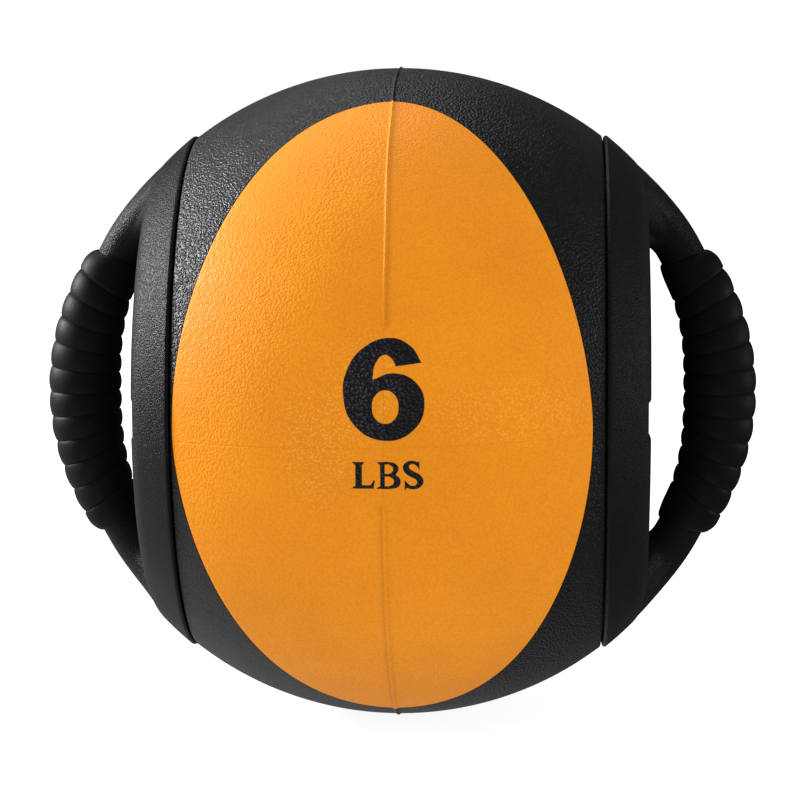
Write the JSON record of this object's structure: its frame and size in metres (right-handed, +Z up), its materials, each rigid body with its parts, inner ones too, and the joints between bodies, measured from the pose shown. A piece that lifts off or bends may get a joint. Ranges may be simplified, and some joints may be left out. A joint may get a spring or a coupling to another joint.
{
  "type": "dual-grip medicine ball",
  "caption": "Black textured rubber medicine ball with orange oval panels, a moulded cap at each side and a curved handle with a ribbed grip over a finger dish on each cap.",
  "frame": {"origin": "centre of the ball", "axes": "+X runs through the right handle, the numbered orange panel faces -Y, and +Z points up along the length of the handles"},
  "size_m": [0.28, 0.254, 0.254],
  "materials": {
    "black_rubber": "satin",
    "orange_rubber": "satin",
    "cap_rubber": "satin",
    "core_steel": "satin",
    "grip_rubber": "satin"
  },
  "bodies": {
    "root": {"left_half_shell": "black_rubber", "right_half_shell": "black_rubber", "front_left_panel": "orange_rubber", "front_right_panel": "orange_rubber", "rear_left_panel": "orange_rubber", "rear_right_panel": "orange_rubber", "left_end_cap": "cap_rubber", "right_end_cap": "cap_rubber", "left_handle_core": "core_steel", "right_handle_core": "core_steel", "left_upper_pin": "core_steel", "left_lower_pin": "core_steel", "right_upper_pin": "core_steel", "right_lower_pin": "core_steel", "left_grip": "grip_rubber", "right_grip": "grip_rubber"}
  },
  "joints": []
}
